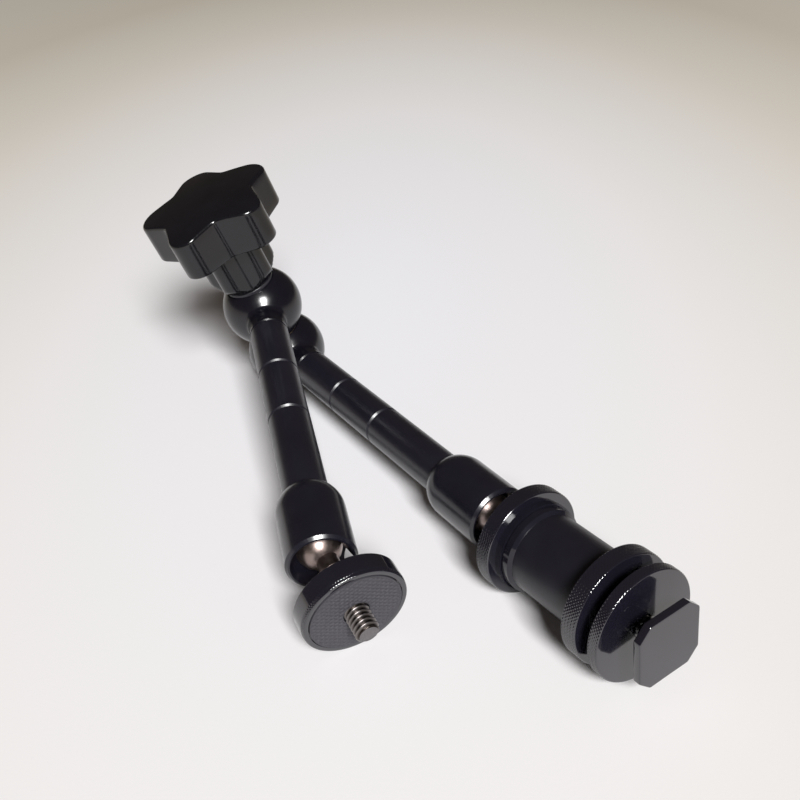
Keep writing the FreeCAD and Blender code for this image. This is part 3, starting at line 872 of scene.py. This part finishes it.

# %% [markdown]
# ## The table
# The table is one pale matte sheet. It could be one flat colour, but a pool of light is painted into its
# colour: near the arm it is almost white and slightly cool, further out warmer and darker. A ramp over the
# distance from the pool's middle paints that, stretched along one direction because the pool is an oval.

# %% Lay the table
table_size = 6
pool_middle, pool_across = (0.085, 0.124, 0), (0.826, -0.563, 0)
pool_width, pool_length = 300, 700
painted_light_rings = (
    (0, (0.83, 0.828, 0.862)), (0.1, (0.81, 0.792, 0.79)), (0.175, (0.735, 0.70, 0.655)),
    (0.225, (0.668, 0.62, 0.552)), (0.32, (0.57, 0.522, 0.438)), (0.9, (0.62, 0.60, 0.57)),
)

bpy.ops.mesh.primitive_grid_add(x_subdivisions=8, y_subdivisions=8, size=table_size)
table = bpy.context.object
table.name = "table_top"
paper = Finish("pale_paper", Roughness=0.75, Specular_IOR_Level=0.25)
pool = paper.space(along(pool_middle, (0, 0, 1), pool_across), (1 / pool_width, 1 / pool_length, 1))
# Painted pool of light: the table's colour darkens and warms with distance from the pool's middle.
paper.vary("Base Color", paper.ramp(paper.spread(paper.from_axis(pool), 0, 1, 0, 4), *painted_light_rings))
paper.bump((paper.noise(paper.space(), 1.2, 3), 0.01))
paint(table, paper.material)
table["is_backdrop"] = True
print("the table is", table_size, "m wide, its pool of light", 2 * pool_width, "by", 2 * pool_length, "mm")

# %% [markdown]
# ## One soft light
# A single large square light stands behind the camera, a little to its right, far enough away to light the
# table evenly. Several lamps would fill the shadows more, but black pieces mirror every lamp, and here each
# shows one squarish glint.

# %% Hang the light
toward_light = Vector((-0.26, -0.74, 0.62)).normalized()
light_distance = 5.4
lamp = bpy.data.lights.new("soft_box", "AREA")
lamp.shape = "SQUARE"
lamp.size = 1.5
lamp.energy = 474
lamp.color = (1.0, 1.0, 1.0)
soft_box = bpy.data.objects.new("soft_box", lamp)
bpy.context.scene.collection.objects.link(soft_box)
soft_box.location = toward_light * light_distance
soft_box.rotation_euler = toward_light.to_track_quat("Z", "Y").to_euler()
print("light from", [round(c, 2) for c in soft_box.location])

# %% [markdown]
# ## The room
# The room above the table is dim, which is what the black pieces mirror, and it fills the shadows a little.
# Only where the camera looks straight past the table does the room show as a pale wall, so that black
# pieces keep their outline in low views.

# %% Surround the table
room_dim = (0.060, 0.051, 0.043, 1)
wall_pale = (0.47, 0.46, 0.44, 1)
world = bpy.data.worlds.new("surround")
bpy.context.scene.world = world
world.use_nodes = True
tree = world.node_tree
dim = tree.nodes["Background"]
dim.inputs["Color"].default_value = room_dim
pale = tree.nodes.new("ShaderNodeBackground")
pale.inputs["Color"].default_value = wall_pale
seen = tree.nodes.new("ShaderNodeLightPath")
choose = tree.nodes.new("ShaderNodeMixShader")
tree.links.new(seen.outputs["Is Camera Ray"], choose.inputs["Fac"])
tree.links.new(dim.outputs["Background"], choose.inputs[1])
tree.links.new(pale.outputs["Background"], choose.inputs[2])
tree.links.new(choose.outputs["Shader"], tree.nodes["World Output"].inputs["Surface"])
bpy.context.scene.view_settings.view_transform = "Standard"
print("the room gives", room_dim[:3], "and shows", wall_pale[:3])

# %% [markdown]
# ## The camera
# The camera looks down on the arm from beyond its free ends. It could be aimed at a target, but a small roll
# would be lost. Its place and the directions of its right and upper side are written out instead.

# %% Place the camera
eye = Vector((-0.11179, -0.20985, 0.18057))
right = Vector((0.83765, -0.54541, -0.02966))
up = Vector((0.30184, 0.41691, 0.85736))
camera = bpy.data.cameras.new("view")
camera.lens = 45.81
camera.sensor_width = 36.0
camera.clip_start = 0.01
camera.clip_end = 50
viewer = bpy.data.objects.new("view", camera)
bpy.context.scene.collection.objects.link(viewer)
viewer.matrix_world = Matrix.Translation(eye) @ Matrix((right, up, right.cross(up))).transposed().to_4x4()
bpy.context.scene.camera = viewer
print("the camera stands", round(eye.length, 3), "m from the middle of the arm")

# %% [markdown]
# ## The last measure
# The finished pieces must be no larger than the solids they stand for. Both boxes are kept side by side, and
# the difference is printed. Boxes of tilted pieces read a few tenths of a millimetre too large.

# %% Keep the two boxes
scene_box = [list(corner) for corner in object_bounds()]
for low_high, solid_side, scene_side in zip(("low", "high"), cad_box, scene_box):
    print(low_high, [round(1000 * (b - a), 2) for a, b in zip(solid_side, scene_side)], "mm from the solids")
